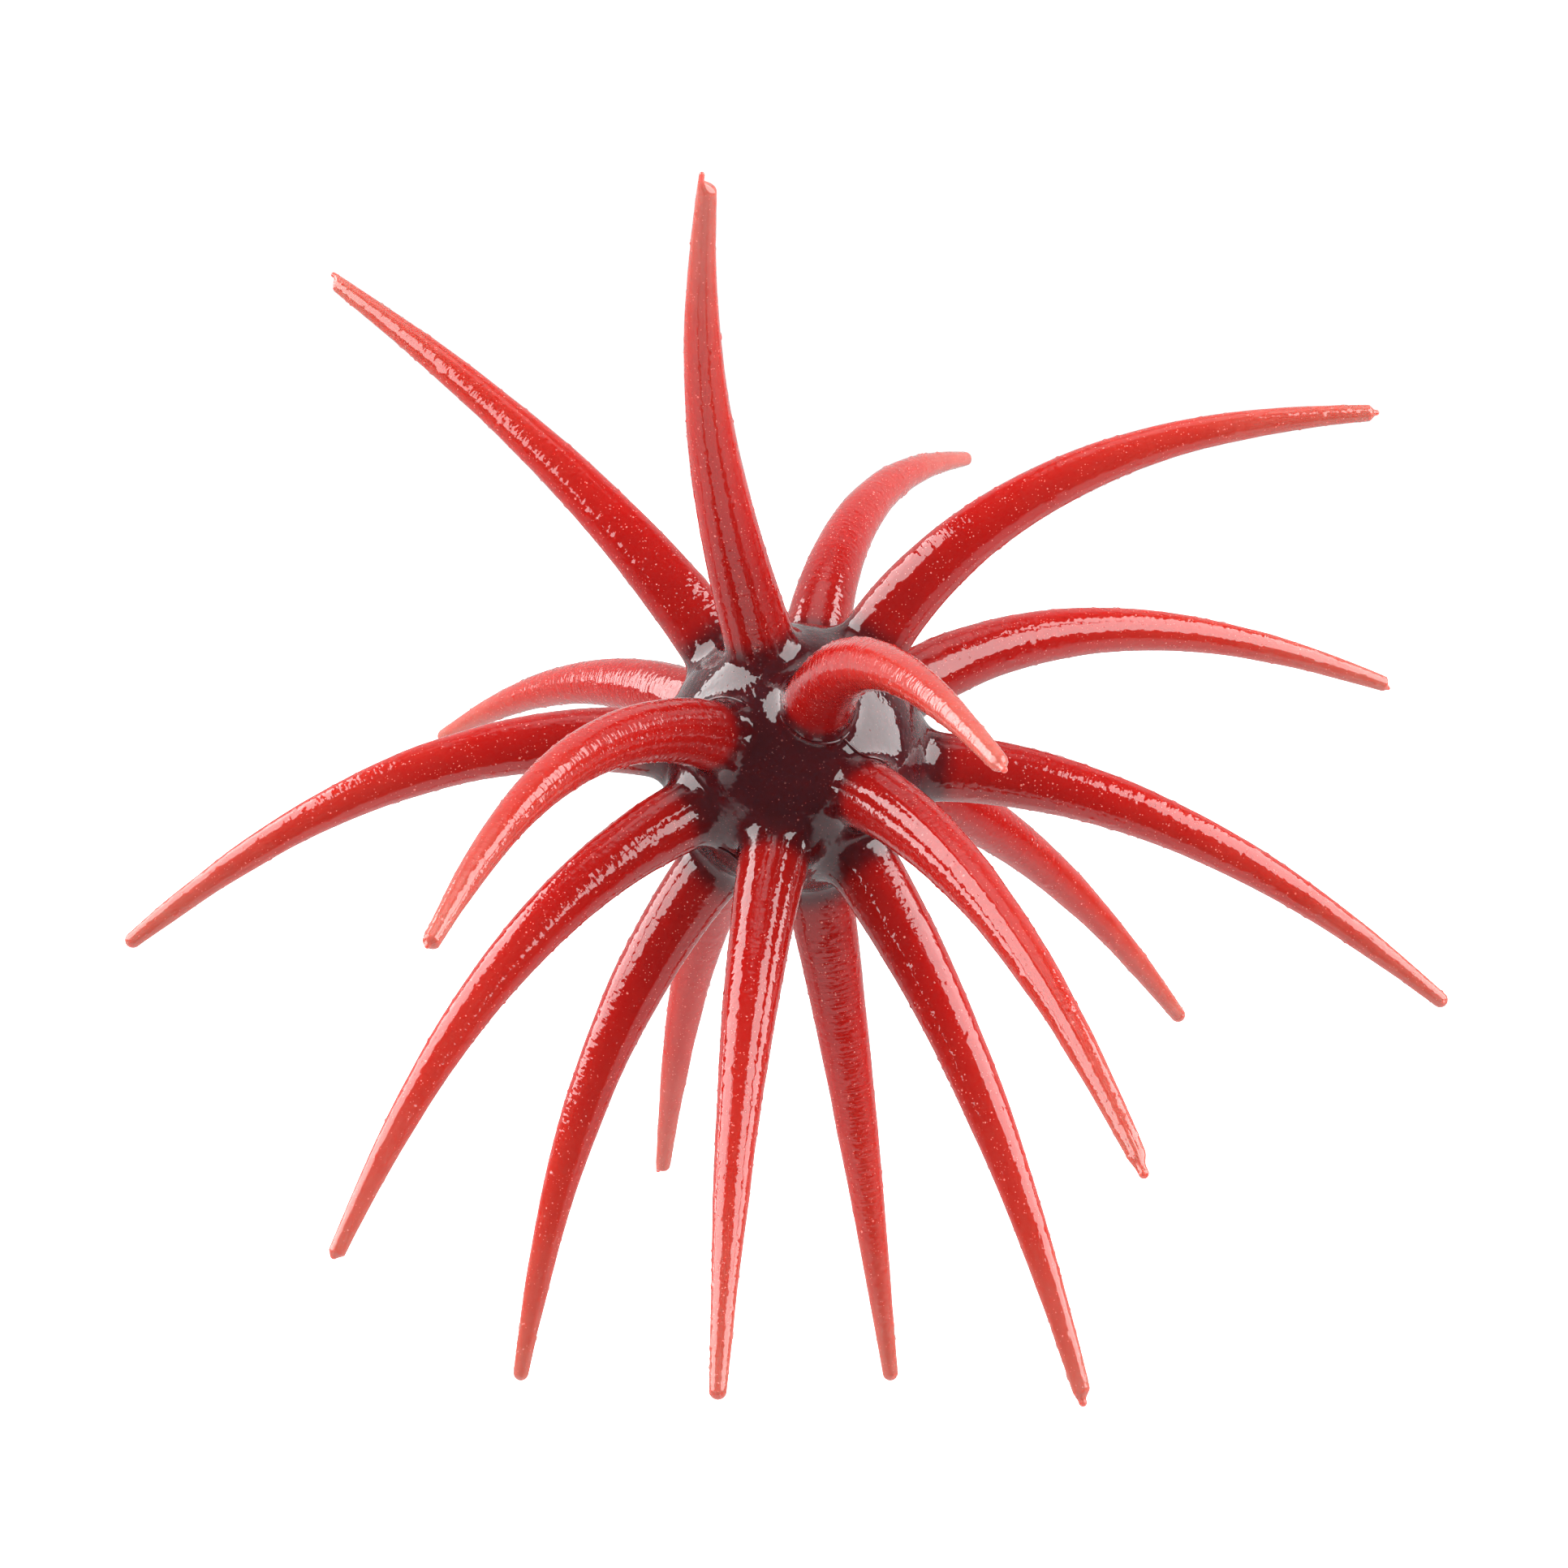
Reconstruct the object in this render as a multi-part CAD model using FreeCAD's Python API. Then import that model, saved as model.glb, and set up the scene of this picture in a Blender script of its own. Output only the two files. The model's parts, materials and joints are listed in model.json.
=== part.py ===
import FreeCAD, Part

import math
import os
from collections import namedtuple

# A soft squeeze toy: a solid rubber ball with long tapered tentacles all round it, held up by the
# ball, so that every tentacle droops under its own weight.
# Millimetres and degrees. The origin is the ball's centre, +Z is up, +X is the toy's right side
# and +Y is its back.

# Ball and the collars that the tentacles grow out of.
BALL_RADIUS = 17.0
COLLAR_BASE_HEIGHT = 10.0    # from the ball's centre, inside the ball
COLLAR_BASE_RADIUS = 9.0
COLLAR_RIM_RADIUS = 6.0
RIM_BELOW_PIVOT = 1.0        # how far a collar's rim lies below the pivot, which lets the root swing

# Tentacles. All are the same moulding; only their direction and their bend differ.
PIVOT_HEIGHT = 18.5          # from the ball's centre to the middle of each root
TENTACLE_LENGTH = 72.5       # from the pivot to the end of the tip
ROOT_RADIUS = 4.4
TIP_RADIUS = 1.05
ROOT_GAP = 0.3               # all round each root, so that neighbouring bodies never touch
BEND_POWER = 1.5             # how much of the bend is near the root
STATIONS = 12                # cross-sections along a tentacle
OVERLAP = 0.04               # a joined ball is this much larger than the section it closes

# azimuth: root's heading about +Z, from +X towards +Y. elevation: root's heading above level.
# droop: how far the tip has turned down from the root. sway: how far it has turned about +Z.
Tentacle = namedtuple("Tentacle", "name azimuth elevation droop sway")
TENTACLES = [
    Tentacle("tentacle_top_front", -119, 59, 14, 35),
    Tentacle("tentacle_top_left", 161, 52, 20, -8),
    Tentacle("tentacle_top_right", -3, 56, 53, 10),
    Tentacle("tentacle_top_back", 79, 46, 45, -13),
    Tentacle("tentacle_right_upper", 31, 26, 45, -16),
    Tentacle("tentacle_right_lower", -1, -4, 35, 2),
    Tentacle("tentacle_front_curl", -80, 26, 46, 11),
    Tentacle("tentacle_front_left", -125, 12, 45, 14),
    Tentacle("tentacle_front_right", -60, -11, 36, 2),
    Tentacle("tentacle_left_upper", 184, 6, 44, 4),
    Tentacle("tentacle_left_lower", -147, -22, 38, 4),
    Tentacle("tentacle_back_left", 126, 14, 34, -3),
    Tentacle("tentacle_back_right", 49, -13, 31, -5),
    Tentacle("tentacle_back_middle", 86, 7, 42, -6),
    Tentacle("tentacle_bottom_front", -101, -40, 24, 4),
    Tentacle("tentacle_bottom_right", -43, -48, 20, 0),
    Tentacle("tentacle_bottom_left", 170, -53, 27, -2),
    Tentacle("tentacle_bottom_back_left", 112, -33, 26, -11),
    Tentacle("tentacle_bottom_back", 65, -68, 7, -3),
]


def attitude(tentacle, along):
    """Rotation that turns +X along the tentacle, where along runs from 0 at the pivot to 1 at the tip."""
    bent = 1.0 - (1.0 - along) ** BEND_POWER
    azimuth = tentacle.azimuth + tentacle.sway * bent
    elevation = tentacle.elevation - tentacle.droop * bent
    return FreeCAD.Rotation(azimuth, -elevation, 0.0)


def heading(tentacle, along):
    """Unit vector along the tentacle."""
    return attitude(tentacle, along).multVec(FreeCAD.Vector(1.0, 0.0, 0.0))


def pivot(tentacle):
    """Centre of the root, about which the tentacle swings."""
    return heading(tentacle, 0.0) * PIVOT_HEIGHT


def make_section(radius, point, turned):
    """Circle square to the tentacle, with its start always on the same side."""
    circle = Part.Wire(Part.makeCircle(radius, FreeCAD.Vector(), FreeCAD.Vector(1.0, 0.0, 0.0)))
    circle.Placement = FreeCAD.Placement(point, turned)
    return circle


def make_tentacle(tentacle):
    """Round root, tapered bent shaft and domed tip, as one solid."""
    step = (TENTACLE_LENGTH - TIP_RADIUS) / STATIONS
    point = pivot(tentacle)
    root = Part.makeSphere(ROOT_RADIUS + OVERLAP, point)
    sections = [make_section(ROOT_RADIUS, point, attitude(tentacle, 0.0))]
    for index in range(STATIONS):
        middle = (index + 0.5) / STATIONS
        end = (index + 1.0) / STATIONS
        point = point + heading(tentacle, middle) * step
        radius = ROOT_RADIUS + (TIP_RADIUS - ROOT_RADIUS) * end
        sections.append(make_section(radius, point, attitude(tentacle, end)))
    shaft = Part.makeLoft(sections, True)
    tip = Part.makeSphere(TIP_RADIUS + OVERLAP, point)
    return shaft.fuse([root, tip])


def make_collar(tentacle):
    """Flared mount that rises from the ball round one root."""
    axis = heading(tentacle, 0.0)
    height = PIVOT_HEIGHT - RIM_BELOW_PIVOT - COLLAR_BASE_HEIGHT
    return Part.makeCone(COLLAR_BASE_RADIUS, COLLAR_RIM_RADIUS, height, axis * COLLAR_BASE_HEIGHT, axis)


def make_cup(tentacle):
    """Round hollow that one root sits in, clear of it all round."""
    return Part.makeSphere(ROOT_RADIUS + OVERLAP + ROOT_GAP, pivot(tentacle))


def make_core():
    """Ball with a collar and a cup for every tentacle."""
    ball = Part.makeSphere(BALL_RADIUS)
    flared = ball.fuse([make_collar(tentacle) for tentacle in TENTACLES])
    return flared.cut([make_cup(tentacle) for tentacle in TENTACLES])


def main():
    os.makedirs("parts", exist_ok=True)
    shapes = {"core": make_core()}
    for tentacle in TENTACLES:
        shapes[tentacle.name] = make_tentacle(tentacle)
    for name, shape in shapes.items():
        shape.exportStep("parts/" + name + ".step")
        box = shape.BoundBox
        print(name, "valid", shape.isValid(), "solids", len(shape.Solids), "volume", round(shape.Volume, 1),
              "x", round(box.XMin, 1), round(box.XMax, 1), "y", round(box.YMin, 1), round(box.YMax, 1),
              "z", round(box.ZMin, 1), round(box.ZMax, 1))


main()
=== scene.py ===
"""Looks of the tentacle ball: one soft translucent red moulding, held in the air by its ball.

Everything is in metres in the part's own frame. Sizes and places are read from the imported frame;
details that the frame doesn't hold are named here, in millimetres.
"""

import itertools
import json
import math

import bpy
import numpy as np
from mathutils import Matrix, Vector
from mathutils.bvhtree import BVHTree

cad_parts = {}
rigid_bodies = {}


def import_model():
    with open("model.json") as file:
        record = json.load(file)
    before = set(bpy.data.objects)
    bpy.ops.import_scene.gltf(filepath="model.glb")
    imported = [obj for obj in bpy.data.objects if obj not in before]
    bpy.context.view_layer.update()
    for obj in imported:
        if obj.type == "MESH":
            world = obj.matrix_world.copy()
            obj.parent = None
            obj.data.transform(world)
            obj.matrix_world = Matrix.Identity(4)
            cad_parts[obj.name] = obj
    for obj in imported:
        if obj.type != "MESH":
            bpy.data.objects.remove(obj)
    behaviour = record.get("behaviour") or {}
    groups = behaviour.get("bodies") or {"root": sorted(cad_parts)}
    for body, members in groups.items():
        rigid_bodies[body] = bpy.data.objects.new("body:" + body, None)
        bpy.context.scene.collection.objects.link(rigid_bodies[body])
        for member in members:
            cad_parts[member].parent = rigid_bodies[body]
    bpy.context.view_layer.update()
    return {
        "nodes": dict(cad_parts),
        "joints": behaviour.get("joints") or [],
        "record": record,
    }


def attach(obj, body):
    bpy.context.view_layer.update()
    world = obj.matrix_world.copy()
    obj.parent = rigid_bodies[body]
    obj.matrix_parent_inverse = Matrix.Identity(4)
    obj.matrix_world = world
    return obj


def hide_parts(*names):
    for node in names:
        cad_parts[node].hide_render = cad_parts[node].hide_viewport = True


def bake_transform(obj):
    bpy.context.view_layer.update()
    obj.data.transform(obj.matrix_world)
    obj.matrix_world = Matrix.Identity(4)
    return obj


MM = 0.001

# Joining of the tentacles to the ball.
FILLET_MM = 2.4             # how far the blend between ball and tentacles reaches
NECK_MM = 3.6               # length of each tentacle, from its pivot, that is moulded with the ball
NECK_INSIDE_MM = 6.0        # how far each neck runs on inside the ball
NECK_POINTS = 9
NECK_MARGIN_MM = 4.5        # a little more than a neck's radius
SEAM_OVERLAP_MM = 1.6       # how far a tentacle's own mesh reaches back inside its neck
SEAM_TUCK_MM = 0.06         # how far each of the two meshes dips under the other there
NECK_TUCK_RUN_MM = 1.0      # length over which the neck dips
TENTACLE_TUCK_END_MM = 0.4  # the tentacle's dip ends this far before the neck does

# Mesh of the ball with its necks.
CORE_CELL_MM = 0.4
CORE_REACH_MM = 31.0        # half the width of the grid's cube
SETTLING_STEPS = 2          # moves of the mesh onto the exact surface
SLOPE_STEP_MM = 0.05

# Measuring of the CAD tentacles.
TRACE_RAYS = 12
TRACE_STEP_MM = 1.5
CURVE_ORDER = 6
ROUND_KNOTS = 3             # measured points at each end that the fit of the taper leaves out

# Grid of one tentacle.
RINGS = 240
END_RINGS = 36              # of them in the last few millimetres
SIDE_POINTS = 28            # points between the two parting ridges, on each side
RIDGE_OFFSETS_MM = (-0.3, -0.16, 0.0, 0.16, 0.3)
RIDGE_HEIGHTS_MM = (0.0, 0.022, 0.006, 0.022, 0.0)
STRONG_RIDGES = {
    "tentacle_front_right": 4.0,
    "tentacle_bottom_left": 2.5,
    "tentacle_left_lower": 2.0,
}

# Where each tentacle's parting ridge lies: degrees from the side that faces the front, turning up.
# The second ridge is opposite the first.
RIDGE_TURN = {
    "tentacle_top_front": 60,
    "tentacle_top_left": 35,
    "tentacle_top_right": -50,
    "tentacle_top_back": 70,
    "tentacle_right_upper": -35,
    "tentacle_right_lower": -50,
    "tentacle_front_curl": 85,
    "tentacle_front_left": 50,
    "tentacle_front_right": 35,
    "tentacle_left_upper": 50,
    "tentacle_left_lower": 45,
    "tentacle_back_left": 60,
    "tentacle_back_right": -20,
    "tentacle_back_middle": 90,
    "tentacle_bottom_front": 30,
    "tentacle_bottom_right": 40,
    "tentacle_bottom_left": -30,
    "tentacle_bottom_back_left": 60,
    "tentacle_bottom_back": -45,
}

# Tentacles whose skin is drawn into stronger rings than the others'.
RINGED = {
    "tentacle_front_curl": 3.2,
    "tentacle_front_left": 2.2,
    "tentacle_back_left": 2.5,
    "tentacle_bottom_back": 2.0,
}

# Thin lines left on the ball by the mould, as azimuths and elevations of the points they pass.
MOULD_LINES = (
    ((-95, 22), (-89, 15), (-81, 11), (-73, 11), (-67, 15)),
    ((-70, 12), (-64, 7), (-59, 1), (-55, -4)),
    ((-143, 22), (-134, 27), (-122, 29), (-112, 26)),
    ((-135, -38), (-124, -46), (-116, -54)),
)
LINE_RADIUS_MM = 0.32
LINE_STEPS = 60
LINE_SIDES = 10
LINE_SETTLING_STEPS = 6
LINE_START_MM = 0.5         # height above the ball from which the line settles onto it
LINE_UNEVEN = (0.75, 0.25, 0.9, 31)     # plain share of its radius, uneven share, lump size, seed
LINE_BLUNTNESS = 6          # higher for a line that keeps its width nearly to its ends
LINE_END_RADIUS_MM = 0.01

# Nibs left on some tips where the mould was cut off: length in millimetres, the side that they stay
# in line with (1 up, -1 down, 0 in the middle), and width as a share of the tip's.
NIBS = {
    "tentacle_top_front": (2.4, -1.0, 0.3),
    "tentacle_top_left": (1.4, 1.0, 0.35),
    "tentacle_top_right": (0.9, 0.0, 0.35),
    "tentacle_right_upper": (0.6, -0.5, 0.3),
    "tentacle_front_curl": (1.8, 0.2, 0.4),
    "tentacle_front_right": (2.8, 0.6, 0.62),
    "tentacle_bottom_right": (1.6, -0.5, 0.5),
    "tentacle_bottom_back_left": (0.8, 1.0, 0.35),
    "tentacle_left_lower": (0.5, 0.3, 0.5),
    "tentacle_front_left": (0.5, 0.3, 0.35),
}
PLAIN_TIP = (0.0, 0.0, 1.0)
NIB_SHOULDER_MM = 0.5       # the shaft starts to narrow this far before the nib
NIB_TAPER = 0.45            # share of the nib that has its full narrowness
END_LENGTH_MM = 5.0         # the rings bunch up over this length

# Unevenness of the skin, the same for the ball and the tentacles.
WAVE_MM = 0.02
WAVE_SIZE_MM = 3.0
WAVE_SEED = 11
WART_MM = 0.11
WART_SIZE_MM = 0.55
WART_SEED = 13
WART_LIMITS = (0.55, 0.9)   # a wart rises where the noise goes from the first of these to the second
BALL_WARTS = 0.15           # share of their height that warts have on the ball
WARTS_GROW_MM = (18.5, 23.0)            # they grow to full height between these distances from its centre

# Unevenness of the tentacles alone.
RING_MM = 0.012             # fine rings, and the size of their lumps
RING_SIZE_MM = 1.1
RING_RADIUS_MM = 2.5        # the rings are worked out on a straight rod of this radius
RING_SQUEEZE = 0.35         # of the distances across it, so that the lumps are drawn out round it
LUMP_MM = 0.07              # broad lumps
LUMP_SIZE_MM = 6.0
LUMP_SEED = 40
FLASH_SIZE_MM = 2.5         # stretches where flash makes the ridges higher
FLASH_SEED = 7
FLASH_LIMITS = (0.2, 0.9)
FLASH_GAIN = (0.75, 1.5, 0.25)          # height without flash, gain from it, share of that away from the tip
TIP_RUN_MM = 14.0           # flash grows over this length towards the tip
RIDGE_FADE_MM = 3.0         # the ridges grow over this length past the neck,
UNEVEN_FADE_MM = 5.0        # and the unevenness over this one
LEAST_RADIUS_MM = 0.8       # of the ring on which the ridges are spaced
FIRST_SEED = 100

# Thickness of the rubber as the material knows it: 0 for a thin tip, 1 for the ball.
ROOT_DEPTH_MM = (16.6, 22.0)            # falls from the ball's to a root's at this distance from its centre
ROOT_THICKNESS = 0.55
TAPER_LIMITS = (0.05, 1.0)  # a shaft's thickness rises between these shares of its root's radius
TAPER_POWER = 0.8

# Camera.
CAMERA_DISTANCE = 0.6
CAMERA_ELEVATION = 5.0
CAMERA_AIM = (-0.00144, 0.0, -0.0035)
VIEW_WIDTH = 0.199          # width of the picture at the ball
SENSOR_WIDTH_MM = 36.0


# ---------------------------------------------------------------- numbers and noise

CELL_FACTORS = (73856093, 19349663, 83492791)
SEED_FACTOR = 2654435761
MIX_FACTOR = 1274126177


def smoothstep(low, high, value):
    share = np.clip((value - low) / (high - low), 0.0, 1.0)
    return share * share * (3.0 - 2.0 * share)


def normalised(vectors):
    return vectors / np.maximum(np.linalg.norm(vectors, axis=-1, keepdims=True), 1e-12)


def lattice_values(cells, seed):
    """One fixed value from -1 to 1 for each whole-number cell."""
    mixed = seed * SEED_FACTOR
    for axis, factor in enumerate(CELL_FACTORS):
        mixed = mixed ^ cells[..., axis] * factor
    mixed = (mixed ^ (mixed >> 13)) * MIX_FACTOR
    mixed = mixed ^ (mixed >> 16)
    return (mixed & 0xFFFF) / 32767.5 - 1.0


def noise(points, size, seed):
    """Smooth noise from about -1 to 1, with lumps of about this size."""
    scaled = points / size
    low = np.floor(scaled).astype(np.int64)
    part = scaled - low
    part = part * part * (3.0 - 2.0 * part)
    total = np.zeros(len(points))
    for corner in np.ndindex(2, 2, 2):
        offset = np.array(corner)
        share = np.prod(np.where(offset == 1, part, 1.0 - part), axis=1)
        total += share * lattice_values(low + offset, seed)
    return total


# ---------------------------------------------------------------- reading the frame

def trace_tentacle(node, pivot):
    """Centre points and radii of a CAD tentacle, measured by rays from its middle, and its tip point."""
    mesh = node.data
    tree = BVHTree.FromPolygons([v.co for v in mesh.vertices], [p.vertices for p in mesh.polygons])
    step = TRACE_STEP_MM * MM
    heading = Vector(pivot).normalized()
    centre = Vector(pivot) + heading * step
    centres = [Vector(pivot)]
    radii = []
    while True:
        side = heading.orthogonal().normalized()
        other = heading.cross(side)
        hits = []
        for index in range(TRACE_RAYS):
            turn = 2.0 * math.pi * index / TRACE_RAYS
            hits.append(tree.ray_cast(centre, side * math.cos(turn) + other * math.sin(turn))[0])
        middle = sum(hits, Vector()) / TRACE_RAYS
        centres.append(middle)
        radii.append(sum((hit - middle).length for hit in hits) / TRACE_RAYS)
        heading = (centres[-1] - centres[-2]).normalized()
        ahead = tree.ray_cast(middle, heading)[0]
        if (ahead - middle).length < 2.0 * step:
            return np.array(centres), np.array([radii[0]] + radii), np.array(ahead)
        centre = middle + heading * step


class Tentacle:
    """Smooth centreline of one tentacle, in millimetres, with a frame of directions along it."""

    def __init__(self, joint, node, seed):
        self.name = joint["child"]
        self.seed = seed
        self.pivot = np.array(joint["pos_m"]) / MM
        centres, radii, tip = trace_tentacle(node, joint["pos_m"])
        knots = np.vstack([centres, tip]) / MM
        lengths = np.concatenate([[0.0], np.cumsum(np.linalg.norm(np.diff(knots, axis=0), axis=1))])
        self.length = lengths[-1]
        self.tip = knots[-1]
        # A smooth curve through each coordinate takes out the small steps of the measured points.
        fit = np.polynomial.Polynomial.fit
        self.curve = [fit(lengths, knots[:, axis], CURVE_ORDER) for axis in range(3)]
        straight = slice(ROUND_KNOTS, len(knots) - ROUND_KNOTS)
        self.taper = fit(lengths[straight], radii[straight] / MM, 1)

    def points(self, along):
        return np.stack([curve(along) for curve in self.curve], axis=-1)

    def headings(self, along):
        return normalised(np.stack([curve.deriv()(along) for curve in self.curve], axis=-1))

    def radius(self, along):
        return self.taper(along)

    def narrowing(self, along):
        """How far the shaft has narrowed to its nib: the share of its radius that is gone."""
        nib, _, share = NIBS.get(self.name, PLAIN_TIP)
        shoulder = self.length - nib - NIB_SHOULDER_MM
        return (1.0 - share) * smoothstep(shoulder, self.length - NIB_TAPER * nib, along)

    def outline(self, along):
        """Radius with the nib's narrowing and a round end."""
        width = self.radius(along) * (1.0 - self.narrowing(along))
        last = self.radius(self.length) * (1.0 - self.narrowing(self.length))
        past = np.clip((along - self.length) / last + 1.0, 0.0, 1.0)
        return width * np.sqrt(1.0 - past * past)

    def lean(self, along):
        """Sideways shift of the nib."""
        side = NIBS.get(self.name, PLAIN_TIP)[1]
        return side * self.radius(along) * self.narrowing(along)

    def sides(self, along):
        """For each heading, the direction towards the front view and the one a quarter turn up from it."""
        heading = self.headings(along)
        start = np.array([0.0, -1.0, 0.0])
        nearly_along = 0.8
        if abs(heading[0] @ start) > nearly_along:
            start = np.array([0.0, 0.0, 1.0])
        front = np.zeros_like(heading)
        front[0] = normalised(start - heading[0] * (start @ heading[0]))
        for index in range(1, len(heading)):
            carried = front[index - 1]
            front[index] = normalised(carried - heading[index] * (carried @ heading[index]))
        up = np.cross(heading, front)
        if up[0][2] < 0.0:
            up = -up
        return front, up


# ---------------------------------------------------------------- the ball with its necks

def blend_min(first, second, reach):
    """Smaller of two distances, rounded off where they are within reach of each other."""
    share = np.maximum(reach - np.abs(first - second), 0.0) / reach
    return np.minimum(first, second) - share * share * reach * 0.25


class Moulding:
    """Distance to the ball with a neck for every tentacle, filleted together, in millimetres."""

    def __init__(self, ball_radius, tentacles):
        self.ball_radius = ball_radius
        self.necks = []
        for tentacle in tentacles:
            along = np.linspace(-NECK_INSIDE_MM, NECK_MM, NECK_POINTS)
            # Inside the ball the neck runs straight on, because the centreline starts at the pivot.
            inner = tentacle.pivot + np.outer(np.minimum(along, 0.0), normalised(tentacle.pivot))
            outer = tentacle.points(np.maximum(along, 0.0)) - tentacle.points(np.array([0.0]))
            radius = tentacle.radius(np.maximum(along, 0.0))
            radius = radius - SEAM_TUCK_MM * smoothstep(NECK_MM - NECK_TUCK_RUN_MM, NECK_MM, along)
            self.necks.append((inner + outer, radius))

    def neck_distance(self, neck, points):
        line, radius = neck
        best = np.full(len(points), 1e9)
        for start, end, low, high in zip(line[:-1], line[1:], radius[:-1], radius[1:]):
            run = end - start
            share = np.clip((points - start) @ run / (run @ run), 0.0, 1.0)
            nearest = start + share[:, None] * run
            distance = np.linalg.norm(points - nearest, axis=1) - (low + (high - low) * share)
            best = np.minimum(best, distance)
        return best

    def distance(self, points):
        total = np.linalg.norm(points, axis=1) - self.ball_radius
        for neck in self.necks:
            line = neck[0]
            middle = (line[0] + line[-1]) * 0.5
            reach = np.linalg.norm(line[-1] - middle) + NECK_MARGIN_MM + 2.0 * FILLET_MM
            near = np.linalg.norm(points - middle, axis=1) < reach
            if near.any():
                total[near] = blend_min(total[near], self.neck_distance(neck, points[near]), FILLET_MM)
        return total

    def normals(self, points):
        slopes = []
        for step in SLOPE_STEP_MM * np.eye(3):
            slopes.append(self.distance(points + step) - self.distance(points - step))
        return normalised(np.stack(slopes, axis=-1))


def surface_net(field, low, cell):
    """Quad mesh of the zero surface of a field that is sampled on a cubic grid."""
    corners = list(np.ndindex(2, 2, 2))
    size = np.array(field.shape) - 1
    views = [field[i:i + size[0], j:j + size[1], k:k + size[2]] for i, j, k in corners]
    inside = np.stack([view < 0.0 for view in views])
    mixed = inside.any(axis=0) & ~inside.all(axis=0)
    cells = np.argwhere(mixed)
    number = np.full(size, -1)
    number[mixed] = np.arange(len(cells))
    values = np.stack([view[mixed] for view in views], axis=1)
    total = np.zeros((len(cells), 3))
    count = np.zeros(len(cells))
    for a, b in itertools.combinations(range(len(corners)), 2):
        if sum(abs(x - y) for x, y in zip(corners[a], corners[b])) != 1:
            continue
        crossed = (values[:, a] < 0.0) != (values[:, b] < 0.0)
        share = values[crossed, a] / (values[crossed, a] - values[crossed, b])
        start = np.array(corners[a])
        end = np.array(corners[b])
        total[crossed] += start + share[:, None] * (end - start)
        count[crossed] += 1
    points = low + (cells + total / count[:, None]) * cell
    faces = []
    for axis in range(3):
        next_one = np.roll(field, -1, axis=axis)
        changed = (field < 0.0) != (next_one < 0.0)
        edge = np.argwhere(changed)
        edge = edge[(edge > 0).all(axis=1) & (edge < size).all(axis=1)]
        first = np.eye(3, dtype=int)[(axis + 1) % 3]
        second = np.eye(3, dtype=int)[(axis + 2) % 3]
        ring = [edge - first - second, edge - second, edge, edge - first]
        quad = np.stack([number[tuple(r.T)] for r in ring], axis=1)
        outward = field[tuple(edge.T)] < 0.0
        quad[~outward] = quad[~outward][:, ::-1]
        faces.append(quad)
    return points, np.concatenate(faces)


def make_core_mesh(moulding):
    low = np.full(3, -CORE_REACH_MM)
    count = int(2.0 * CORE_REACH_MM / CORE_CELL_MM) + 1
    axis = np.arange(count) * CORE_CELL_MM - CORE_REACH_MM
    grid = np.stack(np.meshgrid(axis, axis, axis, indexing="ij"), axis=-1).reshape(-1, 3)
    field = moulding.distance(grid).reshape(count, count, count)
    points, faces = surface_net(field, low, CORE_CELL_MM)
    for _ in range(SETTLING_STEPS):
        points = points - moulding.distance(points)[:, None] * moulding.normals(points)
    return points, faces


# ---------------------------------------------------------------- surface detail

def skin_height(points):
    """Height of the skin's own unevenness at each point, the same for the ball and the tentacles."""
    waves = WAVE_MM * noise(points, WAVE_SIZE_MM, WAVE_SEED)
    warts = smoothstep(*WART_LIMITS, noise(points, WART_SIZE_MM, WART_SEED)) * WART_MM
    beyond_ball = smoothstep(*WARTS_GROW_MM, np.linalg.norm(points, axis=1))
    return waves + warts * (BALL_WARTS + (1.0 - BALL_WARTS) * beyond_ball)


def mesh_object(name, points, faces, attributes, material):
    """Smooth-shaded mesh piece from points in millimetres, with values for the material at each point."""
    mesh = bpy.data.meshes.new(name)
    mesh.from_pydata((points * MM).tolist(), [], faces)
    mesh.validate()
    for key, values in attributes.items():
        if values.ndim == 2:
            layer = mesh.attributes.new(key, "FLOAT_VECTOR", "POINT")
            layer.data.foreach_set("vector", values.astype(np.float32).ravel())
        else:
            layer = mesh.attributes.new(key, "FLOAT", "POINT")
            layer.data.foreach_set("value", values.astype(np.float32))
    mesh.polygons.foreach_set("use_smooth", [True] * len(mesh.polygons))
    mesh.materials.append(material)
    piece = bpy.data.objects.new(name, mesh)
    bpy.context.scene.collection.objects.link(piece)
    return piece


def gel_thickness(points, width=1.0):
    """How thick the rubber is round each point, where width goes from 0 at a thin tip to 1 at a root."""
    depth = 1.0 - smoothstep(*ROOT_DEPTH_MM, np.linalg.norm(points, axis=1))
    return ROOT_THICKNESS * width + (1.0 - ROOT_THICKNESS) * depth


def ball_attributes(rest):
    """What the material is told about points on the ball: no drawn rings there."""
    return {
        "rest": rest,
        "thickness": gel_thickness(rest),
        "ripple": np.zeros_like(rest),
        "drawn": np.zeros(len(rest)),
    }


def build_core(moulding, material):
    rest, faces = make_core_mesh(moulding)
    points = rest + moulding.normals(rest) * skin_height(rest)[:, None]
    return mesh_object("gel_core", points, faces.tolist(), ball_attributes(rest), material)


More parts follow.
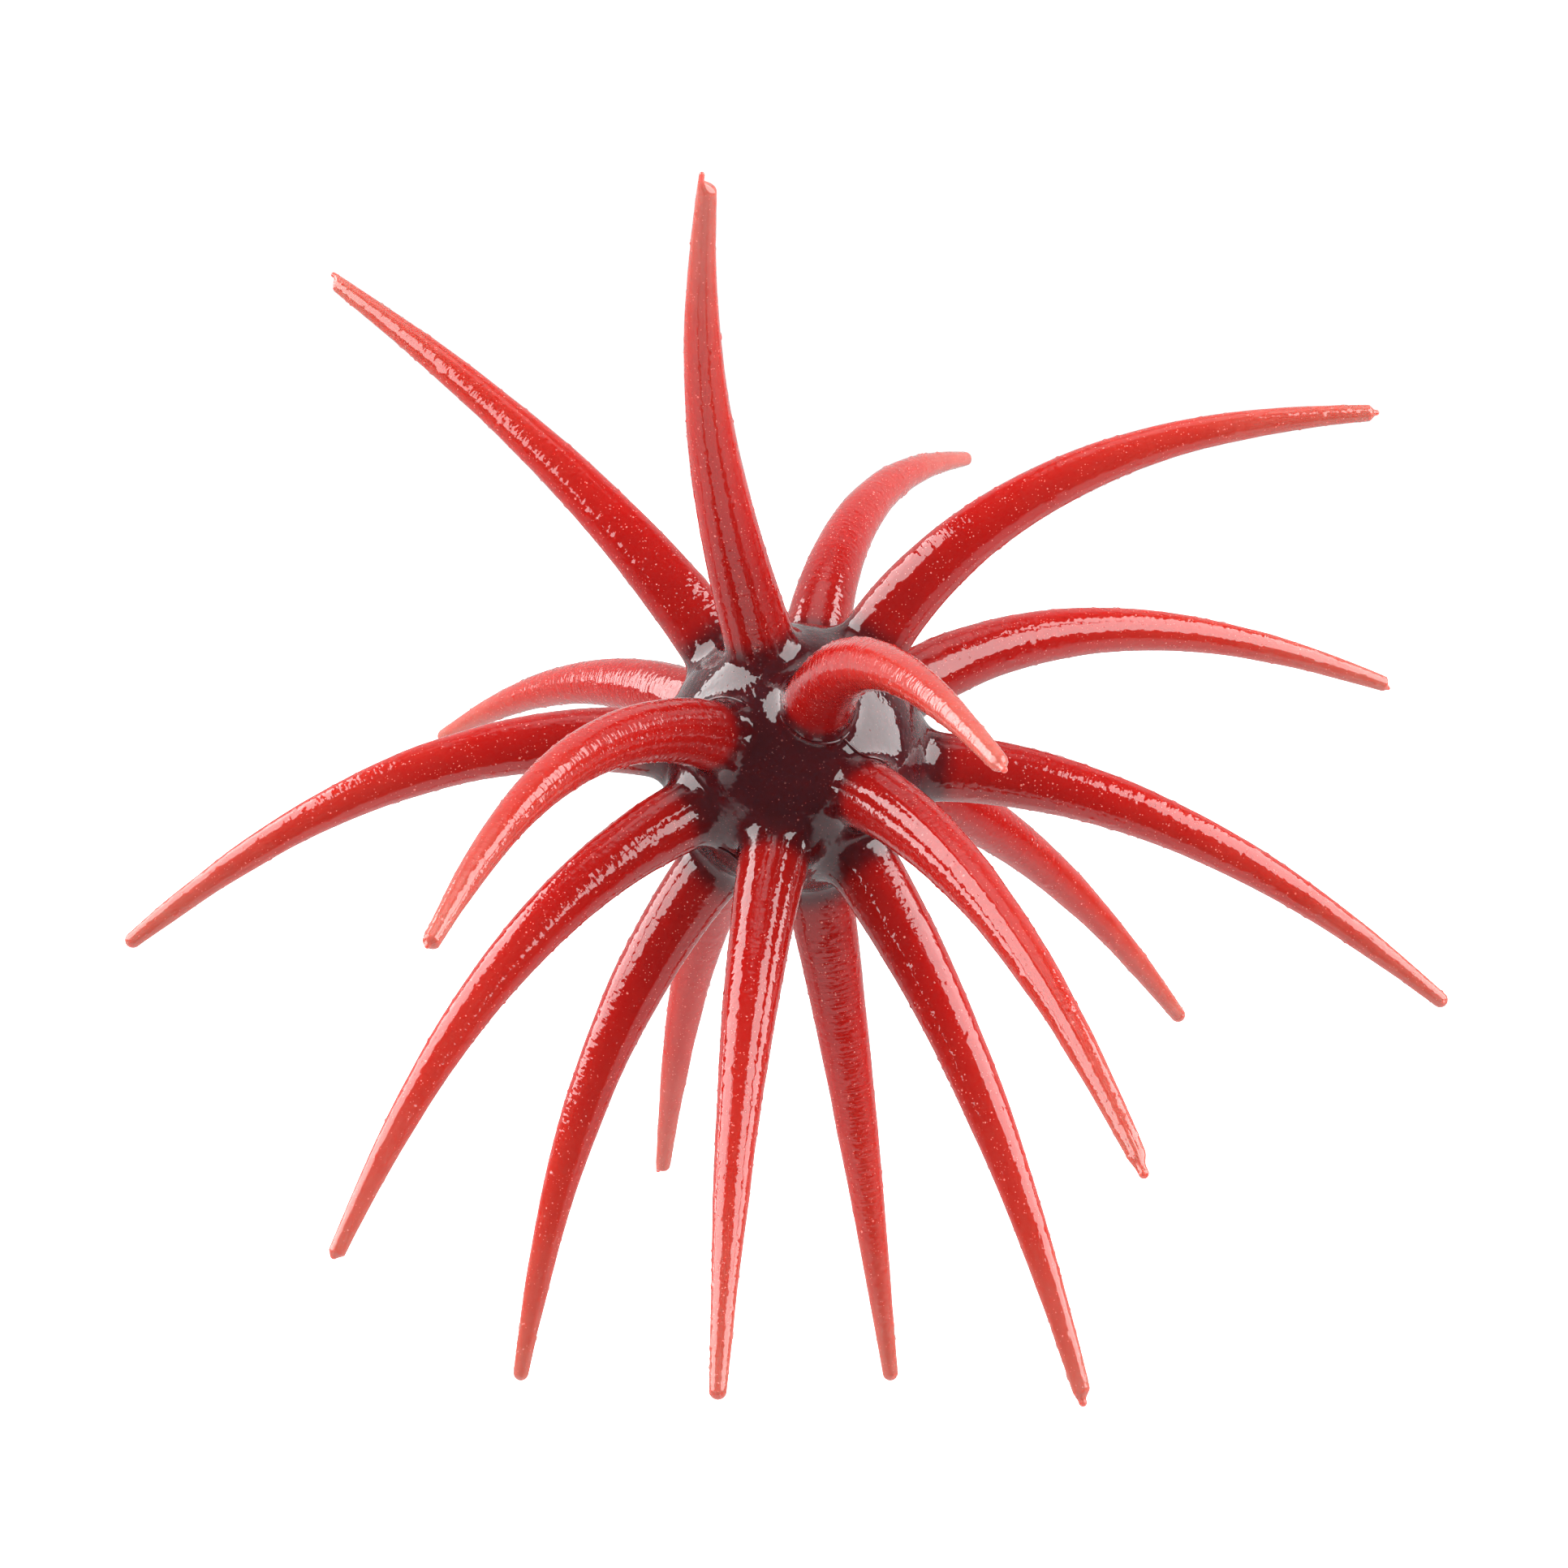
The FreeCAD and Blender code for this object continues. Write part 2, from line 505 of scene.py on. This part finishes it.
def mould_line_path(moulding, stops):
    """Smooth path on the ball through these azimuths and elevations, with the skin's outward directions."""
    turns = np.radians(np.array(stops, dtype=float))
    flat = np.cos(turns[:, 1])
    ways = np.stack([flat * np.cos(turns[:, 0]), flat * np.sin(turns[:, 0]), np.sin(turns[:, 1])], axis=-1)
    steps = np.linspace(0.0, 1.0, LINE_STEPS)
    spread = np.linspace(0.0, 1.0, len(ways))
    fit = np.polynomial.Polynomial.fit
    path = np.stack([fit(spread, ways[:, axis], len(ways) - 1)(steps) for axis in range(3)], axis=-1)
    path = normalised(path) * (moulding.ball_radius + LINE_START_MM)
    for _ in range(LINE_SETTLING_STEPS):
        path = path - moulding.distance(path)[:, None] * moulding.normals(path)
    normals = moulding.normals(path)
    return path + normals * skin_height(path)[:, None], normals


def build_mould_line(name, moulding, stops, material):
    """Thin bead that lies half sunk on the ball along a path of directions."""
    path, normals = mould_line_path(moulding, stops)
    side = normalised(np.cross(normalised(np.gradient(path, axis=0)), normals))
    from_middle = np.abs(np.linspace(-1.0, 1.0, LINE_STEPS))
    plain, uneven, size, seed = LINE_UNEVEN
    width = LINE_RADIUS_MM * np.sqrt(np.clip(1.0 - from_middle ** LINE_BLUNTNESS, 0.0, 1.0))
    width = width * (plain + uneven * noise(path, size, seed)) + LINE_END_RADIUS_MM
    turn = 2.0 * np.pi * np.arange(LINE_SIDES) / LINE_SIDES
    round_way = side[:, None] * np.cos(turn)[None, :, None] + normals[:, None] * np.sin(turn)[None, :, None]
    points = (path[:, None] + round_way * width[:, None, None]).reshape(-1, 3)
    rest = np.repeat(path, LINE_SIDES, axis=0)
    faces = tube_faces(LINE_STEPS, LINE_SIDES)
    return mesh_object(name, points, faces, ball_attributes(rest), material)


def tube_faces(rings, sides):
    """Faces of a closed tube whose points are numbered ring by ring."""
    quads = []
    for row in range(rings - 1):
        for column in range(sides):
            beside = (column + 1) % sides
            quads.append((row * sides + column, (row + 1) * sides + column,
                          (row + 1) * sides + beside, row * sides + beside))
    quads.append(tuple(range(sides)))
    quads.append(tuple(reversed(range((rings - 1) * sides, rings * sides))))
    return quads


def ring_turns(radius, first_turn):
    """Angles and ridge heights round one ring: two parting ridges with plain skin between them."""
    turns = []
    heights = []
    margin = RIDGE_OFFSETS_MM[-1] / radius
    for half in (0.0, math.pi):
        base = first_turn + half
        for offset, height in zip(RIDGE_OFFSETS_MM, RIDGE_HEIGHTS_MM):
            turns.append(base + offset / radius)
            heights.append(height)
        spread = (np.arange(SIDE_POINTS) + 1.0) / (SIDE_POINTS + 1.0)
        turns.extend(base + margin + spread * (math.pi - 2.0 * margin))
        heights.extend([0.0] * SIDE_POINTS)
    return np.array(turns), np.array(heights)


def ring_places(tentacle):
    """Where the rings lie along a tentacle, from inside its neck to near its tip."""
    start = NECK_MM - SEAM_OVERLAP_MM
    shaft = np.linspace(start, tentacle.length - END_LENGTH_MM, RINGS - END_RINGS, endpoint=False)
    # Towards the very end the rings bunch up, to keep its rounding smooth.
    turn = np.linspace(0.0, 0.5 * math.pi, END_RINGS + 1)[:-1]
    close = tentacle.length - END_LENGTH_MM * (1.0 - np.sin(turn))
    return np.concatenate([shaft, close])


class Skin:
    """Points of a tentacle's skin, ring by ring and then the tip's, with what is known of each one."""

    def __init__(self, tentacle, along):
        end = tentacle.length
        front, up = tentacle.sides(along)
        headings = tentacle.headings(along)
        centres = tentacle.points(along) + up * tentacle.lean(along)[:, None]
        outline = tentacle.outline(along)
        first_turn = math.radians(RIDGE_TURN[tentacle.name])
        rows = []
        radials = []
        ridges = []
        ring_turn = []
        for index, place in enumerate(along):
            turns, heights = ring_turns(max(tentacle.radius(place), LEAST_RADIUS_MM), first_turn)
            direction = np.outer(np.cos(turns), front[index]) + np.outer(np.sin(turns), up[index])
            rows.append(centres[index] + direction * outline[index])
            radials.append(direction)
            ridges.append(heights * smoothstep(NECK_MM, NECK_MM + RIDGE_FADE_MM, place))
            ring_turn.append(turns)
        self.around = len(rows[0])
        tip = tentacle.points(np.array([end])) + up[-1:] * tentacle.lean(end)
        self.rest = np.concatenate(rows + [tip])
        self.radial = np.concatenate(radials + [headings[-1:]])
        self.ridge = np.concatenate(ridges + [np.zeros(1)])
        self.turn = np.concatenate(ring_turn + [np.zeros(1)])
        self.place = np.concatenate([np.repeat(along, self.around), [end]])
        # A narrow nib and the rounding of the end keep only part of the unevenness.
        kept = np.repeat(outline / tentacle.radius(along), self.around)
        self.kept = np.concatenate([kept, [0.0]])
        self.mirrored = np.cross(front[0], up[0]) @ headings[0] < 0.0

    def ring_space(self):
        """The same points on a straight rod, for rings as if the skin had been drawn out of its mould."""
        across = RING_RADIUS_MM * np.cos(self.turn)
        upwards = RING_RADIUS_MM * np.sin(self.turn)
        return np.stack([self.place, across, upwards], axis=1)


def tentacle_height(tentacle, skin):
    """How far each point of a tentacle's skin stands out: warts, rings, lumps and parting ridges."""
    squeezed = skin.ring_space() * np.array([1.0, RING_SQUEEZE, RING_SQUEEZE])
    rings = RING_MM * noise(squeezed, RING_SIZE_MM, tentacle.seed)
    lumps = LUMP_MM * noise(skin.ring_space(), LUMP_SIZE_MM, tentacle.seed + LUMP_SEED)
    past_neck = smoothstep(NECK_MM, NECK_MM + UNEVEN_FADE_MM, skin.place)
    height = skin_height(skin.rest) + (rings + lumps) * past_neck
    along_only = np.stack([skin.place, np.zeros_like(skin.place), np.zeros_like(skin.place)], axis=1)
    flash = smoothstep(*FLASH_LIMITS, noise(along_only, FLASH_SIZE_MM, tentacle.seed + FLASH_SEED))
    near_tip = smoothstep(tentacle.length - TIP_RUN_MM, tentacle.length, skin.place)
    plain, gain, elsewhere = FLASH_GAIN
    ridge = skin.ridge * STRONG_RIDGES.get(tentacle.name, 1.0)
    height = height + ridge * (plain + gain * flash * (elsewhere + near_tip))
    tuck_end = NECK_MM - TENTACLE_TUCK_END_MM
    return height - SEAM_TUCK_MM * (1.0 - smoothstep(NECK_MM - SEAM_OVERLAP_MM, tuck_end, skin.place))


def tentacle_faces(rings, around, mirrored):
    """Faces of a tube whose points are numbered ring by ring, closed by a fan at the tip."""
    faces = []
    for row in range(rings - 1):
        for column in range(around):
            beside = (column + 1) % around
            faces.append((row * around + column, row * around + beside,
                          (row + 1) * around + beside, (row + 1) * around + column))
    last = (rings - 1) * around
    tip = rings * around
    faces.extend((last + column, last + (column + 1) % around, tip) for column in range(around))
    faces.append(tuple(reversed(range(around))))
    if mirrored:
        faces = [tuple(reversed(face)) for face in faces]
    return faces


def build_tentacle(tentacle, material):
    """Tapered skin from inside the neck to the tip, with ridges, ripples and a rough-cut end."""
    along = ring_places(tentacle)
    skin = Skin(tentacle, along)
    points = skin.rest + skin.radial * (tentacle_height(tentacle, skin) * skin.kept)[:, None]
    faces = tentacle_faces(len(along), skin.around, skin.mirrored)
    share = tentacle.radius(skin.place) / tentacle.radius(0.0)
    past_neck = smoothstep(NECK_MM, NECK_MM + UNEVEN_FADE_MM, skin.place)
    attributes = {
        "rest": skin.rest,
        "thickness": gel_thickness(skin.rest, smoothstep(*TAPER_LIMITS, share) ** TAPER_POWER),
        "ripple": skin.ring_space(),
        "drawn": RINGED.get(tentacle.name, 1.0) * past_neck,
    }
    return mesh_object("gel_" + tentacle.name, points, faces, attributes, material)


# ---------------------------------------------------------------- material

class Nodes:
    """Small helper that adds and joins shader nodes."""

    def __init__(self, owner):
        owner.use_nodes = True
        self.tree = owner.node_tree

    def add(self, kind, inputs=(), **settings):
        node = self.tree.nodes.new(kind)
        for key, value in settings.items():
            setattr(node, key, value)
        for key, value in dict(inputs).items():
            self.put(node, key, value)
        return node

    def put(self, node, key, value):
        if isinstance(value, bpy.types.NodeSocket):
            self.tree.links.new(value, node.inputs[key])
        else:
            node.inputs[key].default_value = value

    def ramp(self, value, stops):
        node = self.add("ShaderNodeValToRGB", {"Fac": value})
        while len(node.color_ramp.elements) < len(stops):
            node.color_ramp.elements.new(0.5)
        for element, (place, colour) in zip(node.color_ramp.elements, stops):
            element.position = place
            element.color = (*colour, 1.0)
        return node.outputs["Color"]

    def value(self, name, output="Fac"):
        """An attribute of the mesh."""
        return self.add("ShaderNodeAttribute", attribute_name=name).outputs[output]

    def maths(self, operation, first, second=0.0):
        return self.add("ShaderNodeMath", {0: first, 1: second}, operation=operation).outputs[0]

    def product(self, first, second):
        return self.maths("MULTIPLY", first, second)

    def total(self, *parts):
        result = parts[0]
        for part in parts[1:]:
            result = self.maths("ADD", result, part)
        return result

    def step(self, value, low, high, start=0.0, end=1.0):
        """Smooth change from start to end while the value goes from low to high."""
        node = self.add("ShaderNodeMapRange", interpolation_type="SMOOTHSTEP")
        inputs = {"Value": value, "From Min": low, "From Max": high, "To Min": start, "To Max": end}
        for key, number in inputs.items():
            self.put(node, key, number)
        return node.outputs[0]

    def mix(self, share, first, second):
        """Colour between two others. The node keeps its colour sockets at places 6, 7 and 2."""
        node = self.add("ShaderNodeMix", data_type="RGBA")
        self.put(node, 0, share)
        self.put(node, 6, first)
        self.put(node, 7, second)
        return node.outputs[2]

    def noise(self, vector, scale, detail, roughness=0.5):
        inputs = {"Vector": vector, "Scale": scale, "Detail": detail, "Roughness": roughness}
        return self.add("ShaderNodeTexNoise", inputs).outputs["Fac"]

    def dots(self, vector, scale, radius, kept):
        """Soft round dots: 1 inside and 0 outside, in this share of the cells."""
        cells = self.add("ShaderNodeTexVoronoi", {"Vector": vector, "Scale": scale, "Randomness": 1.0})
        inside = self.step(cells.outputs["Distance"], 0.5 * radius * scale, radius * scale, 1.0, 0.0)
        chance = self.add("ShaderNodeSeparateColor", {"Color": cells.outputs["Color"]}).outputs["Red"]
        return self.product(inside, self.maths("LESS_THAN", chance, kept))


# Colours of the gel by thickness, from a thin tip to the ball.
GEL_COLOURS = (
    (0.0, (0.26, 0.100, 0.084)),
    (0.12, (0.255, 0.055, 0.040)),
    (0.28, (0.225, 0.018, 0.012)),
    (0.5, (0.205, 0.0055, 0.0042)),
    (0.62, (0.16, 0.0045, 0.0042)),
    (0.82, (0.058, 0.0044, 0.0052)),
    (1.0, (0.028, 0.0042, 0.0054)),
)
# Cloudiness in the rubber shifts the colour a little: its height, and its lumps per millimetre.
CLOUD = 0.10
CLOUD_SCALE = 0.35
# Dust specks in the gel: cells per millimetre, radius in millimetres, share of the cells that hold one.
SPECKS = ((2.4, 0.09, 0.6), (1.3, 0.13, 0.4), (0.6, 0.19, 0.35))
SPECK_COLOUR = (0.40, 0.12, 0.10, 1.0)
SPECK_STRENGTH = (0.8, 0.16)            # in a tentacle and in the ball
SPECK_PATCHES = (0.3, 1.7)              # they show less in some patches and more in others
SPECK_PATCH_SCALE = 1.1
SPECK_PATCH_LIMITS = (0.3, 0.7)
# Thickness at a tentacle's root and at the ball, between which the specks and the skin change.
ROOT_TO_BALL = (0.6, 0.95)

# Fine skin: heights in millimetres and lumps per millimetre of broad waves, orange peel and grain.
BROAD_HEIGHT = 0.05
BROAD_SCALE = 0.55
PEEL_HEIGHT = 0.042
PEEL_SCALE = 1.5
GRAIN_HEIGHT = 0.012
GRAIN_SCALE = 2.6
PIT_DEPTH = 0.04
PITS = (1.3, 0.14, 0.4)                 # as for the specks
DRAWN_HEIGHT = 0.02
DRAWN_SCALE = 1.6
DRAWN_STRETCH = (1.6, 0.3, 0.3)         # the drawn rings are narrow along the tentacle and wide round it
BALL_FINENESS = 0.7                     # share of the fine skin's height on the ball

# How far light spreads inside the gel, in metres: near the ball and far from it.
SUBSURFACE_SCALE = (0.0006, 0.008)
SUBSURFACE_FAR_MM = (22.5, 42.0)        # distances from the ball's centre of those two
SUBSURFACE_THIN = (0.25, 1.0)           # share of it in a thin tip and in a thick part
SUBSURFACE_THIN_LIMITS = (0.05, 0.4)
SUBSURFACE_SPREAD = (1.0, 0.10, 0.08)
GLOSS_ROUGHNESS = 0.02
GEL_IOR = 1.5


def gel_colour(nodes, rest, thickness):
    """Red that is darker where the rubber is thick, a little cloudy, with specks of dust in it."""
    cloud = nodes.maths("SUBTRACT", nodes.noise(rest, CLOUD_SCALE, 3.0), 0.5)
    base = nodes.ramp(nodes.total(thickness, nodes.product(cloud, CLOUD)), GEL_COLOURS)
    specks = nodes.total(*[nodes.dots(rest, *kind) for kind in SPECKS])
    patches = nodes.step(nodes.noise(rest, SPECK_PATCH_SCALE, 1.0), *SPECK_PATCH_LIMITS, *SPECK_PATCHES)
    strength = nodes.product(nodes.step(thickness, *ROOT_TO_BALL, *SPECK_STRENGTH), patches)
    return nodes.mix(nodes.product(specks, strength), base, SPECK_COLOUR)


def gel_bump(nodes, rest, thickness):
    """Fine skin, as heights in millimetres: broad waves, orange peel, grain, little pits and drawn rings."""
    waves = nodes.product(nodes.noise(rest, BROAD_SCALE, 1.0), BROAD_HEIGHT)
    peel = nodes.product(nodes.noise(rest, PEEL_SCALE, 0.0), PEEL_HEIGHT)
    grain = nodes.product(nodes.noise(rest, GRAIN_SCALE, 0.0), GRAIN_HEIGHT)
    pits = nodes.product(nodes.dots(rest, *PITS), -PIT_DEPTH)
    ripple = nodes.value("ripple", "Vector")
    stretched = nodes.add("ShaderNodeMapping", {"Vector": ripple, "Scale": DRAWN_STRETCH}).outputs["Vector"]
    rings = nodes.noise(stretched, DRAWN_SCALE, 1.0)
    rings = nodes.product(rings, nodes.product(nodes.value("drawn"), DRAWN_HEIGHT))
    share = nodes.step(thickness, *ROOT_TO_BALL, 1.0, BALL_FINENESS)
    height = nodes.total(waves, nodes.product(nodes.total(peel, grain, pits, rings), share))
    return nodes.add("ShaderNodeBump", {"Height": height, "Strength": 1.0, "Distance": MM}).outputs["Normal"]


def gel_spread(nodes, rest, thickness):
    """How far light spreads: little in the dark ball and in thin tips, far along the shafts."""
    from_centre = nodes.add("ShaderNodeVectorMath", {0: rest}, operation="LENGTH").outputs["Value"]
    reach = nodes.step(from_centre, *SUBSURFACE_FAR_MM, *SUBSURFACE_SCALE)
    return nodes.product(reach, nodes.step(thickness, *SUBSURFACE_THIN_LIMITS, *SUBSURFACE_THIN))


def gel_material():
    """Translucent gel rubber with a wet gloss."""
    material = bpy.data.materials.new("gel")
    nodes = Nodes(material)
    rest = nodes.value("rest", "Vector")
    thickness = nodes.value("thickness")
    shader = nodes.tree.nodes["Principled BSDF"]
    nodes.put(shader, "Base Color", gel_colour(nodes, rest, thickness))
    nodes.put(shader, "Normal", gel_bump(nodes, rest, thickness))
    nodes.put(shader, "Subsurface Scale", gel_spread(nodes, rest, thickness))
    shader.inputs["Subsurface Weight"].default_value = 1.0
    shader.inputs["Subsurface Radius"].default_value = SUBSURFACE_SPREAD
    shader.inputs["Roughness"].default_value = GLOSS_ROUGHNESS
    shader.inputs["IOR"].default_value = GEL_IOR
    return material


# Faint mottling of the floor: places on the noise and their colours.
FLOOR_COLOURS = ((0.3, (0.86, 0.86, 0.86)), (0.7, (0.85, 0.85, 0.85)))
FLOOR_MOTTLES_PER_M = 30.0


def floor_material():
    material = bpy.data.materials.new("floor")
    nodes = Nodes(material)
    place = nodes.add("ShaderNodeNewGeometry").outputs["Position"]
    shader = nodes.tree.nodes["Principled BSDF"]
    nodes.put(shader, "Base Color", nodes.ramp(nodes.noise(place, FLOOR_MOTTLES_PER_M, 2.0), FLOOR_COLOURS))
    shader.inputs["Roughness"].default_value = 0.6
    return material


# ---------------------------------------------------------------- stage

FLOOR_HEIGHT = -0.36
FLOOR_HALF = 12.0
FLOOR_BRIGHTNESS = 1.3      # of the floor in the picture; 1 is white
WHITE = 1.1                 # of the air behind it
BACK_RADIANCE = 0.7         # what the gel mirrors behind it,
TABLE_RADIANCE = 1.3        # under it,
CEILING_RADIANCE = 1.5      # straight above it
DARK_RADIANCE = 0.08        # and around the camera
SHADE_RADIANCE = 2.0        # least light that its shaded sides get from the bright room,
GLOW_RADIANCE = 2.8         # and the most, from behind and below

# Parts of a direction, from -1 to 1, between which the wall behind and the ceiling come in.
WALL_LIMITS = (0.2, 0.6)
CEILING_LIMITS = (0.9, 0.99)
# Edges of the mirrored table, in table heights: half its width, and its edge on the camera's side.
TABLE_SIDES = (3.0, 4.5)
TABLE_NEAR_EDGE = (-1.0, -0.7)
TABLE_LIMITS = (-0.95, 0.0)             # it is brightest straight below and fades to the horizon
LEAST_DEPTH = 0.01                      # keeps level directions from dividing by nothing
GLOW_LIMITS = (0.1, 0.9)    # the glow grows between these, from the front to behind
GLOW_FROM_BELOW = 0.6       # how much a direction from below counts as from behind

# Softboxes: direction from the ball, distance, width, height and radiance.
SOFTBOXES = {
    "left_box": ((-0.88, -0.06, 0.47), 0.65, 0.90, 0.68, 6.7),
    "right_box": ((0.84, -0.26, 0.47), 0.65, 0.80, 0.66, 6.7),
}


def add_floor():
    """Plain pale floor well below the toy, which is held in the air."""
    mesh = bpy.data.meshes.new("floor")
    sides = ((-1, -1), (1, -1), (1, 1), (-1, 1))
    corners = [(x * FLOOR_HALF, y * FLOOR_HALF, FLOOR_HEIGHT) for x, y in sides]
    mesh.from_pydata(corners, [], [(0, 1, 2, 3)])
    mesh.materials.append(floor_material())
    floor = bpy.data.objects.new("floor", mesh)
    bpy.context.scene.collection.objects.link(floor)
    # The gel takes its reflections and bounced light from the world's white table instead.
    floor.visible_glossy = False
    floor.visible_diffuse = False
    # A lamp for the floor alone keeps it evenly white out to the horizon.
    lamp = bpy.data.lights.new("floor_lamp", "SUN")
    lamp.energy = FLOOR_BRIGHTNESS * math.pi / FLOOR_COLOURS[0][1][0]
    sun = bpy.data.objects.new("floor_lamp", lamp)
    bpy.context.scene.collection.objects.link(sun)
    lit = bpy.data.collections.new("floor_only")
    lit.objects.link(floor)
    sun.light_linking.receiver_collection = lit


def add_softbox(name, direction, distance, width, height, radiance):
    """Rectangular lamp that faces the ball from a direction."""
    lamp = bpy.data.lights.new(name, "AREA")
    lamp.shape = "RECTANGLE"
    lamp.size = width
    lamp.size_y = height
    lamp.energy = radiance * math.pi * width * height
    box = bpy.data.objects.new(name, lamp)
    place = Vector(direction).normalized() * distance
    box.location = place
    box.rotation_euler = place.to_track_quat("Z", "Y").to_euler()
    box.visible_camera = False
    bpy.context.scene.collection.objects.link(box)


def mirrored_room(nodes, parts):
    """What the gel mirrors in each direction: the wall behind, the table, the ceiling or the dark room."""
    wall = nodes.step(parts["Y"], *WALL_LIMITS, 0.0, BACK_RADIANCE)
    ceiling = nodes.step(parts["Z"], *CEILING_LIMITS, 0.0, CEILING_RADIANCE)
    # Where each downward direction meets the table, in table heights across and away from the camera.
    depth = nodes.maths("MAXIMUM", nodes.product(parts["Z"], -1.0), LEAST_DEPTH)
    across = nodes.maths("ABSOLUTE", nodes.maths("DIVIDE", parts["X"], depth))
    away = nodes.maths("DIVIDE", parts["Y"], depth)
    table = nodes.product(nodes.step(across, *TABLE_SIDES, 1.0, 0.0), nodes.step(away, *TABLE_NEAR_EDGE))
    table = nodes.product(table, nodes.step(parts["Z"], *TABLE_LIMITS, TABLE_RADIANCE, 0.0))
    lit = nodes.maths("MAXIMUM", nodes.maths("MAXIMUM", wall, table), ceiling)
    return nodes.maths("MAXIMUM", lit, DARK_RADIANCE)


def add_world():
    """White to look at; what the gel mirrors is a white wall behind, a white table and a dark room."""
    world = bpy.data.worlds.new("studio")
    bpy.context.scene.world = world
    nodes = Nodes(world)
    direction = nodes.add("ShaderNodeTexCoord").outputs["Generated"]
    parts = nodes.add("ShaderNodeSeparateXYZ", {0: direction}).outputs
    mirrored = mirrored_room(nodes, parts)
    behind = nodes.total(parts["Y"], nodes.product(parts["Z"], -GLOW_FROM_BELOW))
    glow = nodes.step(behind, *GLOW_LIMITS, SHADE_RADIANCE, GLOW_RADIANCE)
    soft = nodes.maths("MAXIMUM", mirrored, glow)
    path = nodes.add("ShaderNodeLightPath").outputs
    felt = nodes.add("ShaderNodeMix", {0: path["Is Glossy Ray"], 2: soft, 3: mirrored}).outputs[0]
    strength = nodes.add("ShaderNodeMix", {0: path["Is Camera Ray"], 2: felt, 3: WHITE}).outputs[0]
    background = nodes.tree.nodes["Background"]
    nodes.put(background, "Color", (1.0, 1.0, 1.0, 1.0))
    nodes.put(background, "Strength", strength)


def add_stage():
    add_floor()
    add_world()
    for name, settings in SOFTBOXES.items():
        add_softbox(name, *settings)


def add_camera():
    camera = bpy.data.objects.new("camera", bpy.data.cameras.new("camera"))
    turn = math.radians(CAMERA_ELEVATION)
    back = Vector((0.0, -math.cos(turn), math.sin(turn)))
    camera.location = back * CAMERA_DISTANCE
    camera.rotation_euler = (camera.location - Vector(CAMERA_AIM)).to_track_quat("Z", "Y").to_euler()
    camera.data.sensor_width = SENSOR_WIDTH_MM
    camera.data.lens = SENSOR_WIDTH_MM * CAMERA_DISTANCE / VIEW_WIDTH
    bpy.context.scene.collection.objects.link(camera)
    bpy.context.scene.camera = camera


def clear_scene():
    for item in list(bpy.data.objects):
        bpy.data.objects.remove(item)


def add_ball(moulding, gel):
    """The ball with its necks, and the mould's lines on it."""
    core = build_core(moulding, gel)
    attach(core, "core")
    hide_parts("core")
    for index, stops in enumerate(MOULD_LINES):
        line = build_mould_line(f"gel_mould_line_{index + 1}", moulding, stops, gel)
        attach(line, "core")


def add_tentacle(tentacle, gel):
    piece = build_tentacle(tentacle, gel)
    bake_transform(piece)
    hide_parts(tentacle.name)


def main():
    clear_scene()
    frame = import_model()
    gel = gel_material()
    ball_radius = frame["record"]["mounts"][0]["dims"]["r_mm"]
    tentacles = [Tentacle(joint, frame["nodes"][joint["child"]], FIRST_SEED + index)
                 for index, joint in enumerate(frame["joints"])]
    add_ball(Moulding(ball_radius, tentacles), gel)
    for tentacle in tentacles:
        add_tentacle(tentacle, gel)
    add_stage()
    add_camera()
    bpy.context.scene.view_settings.view_transform = "Standard"


main()
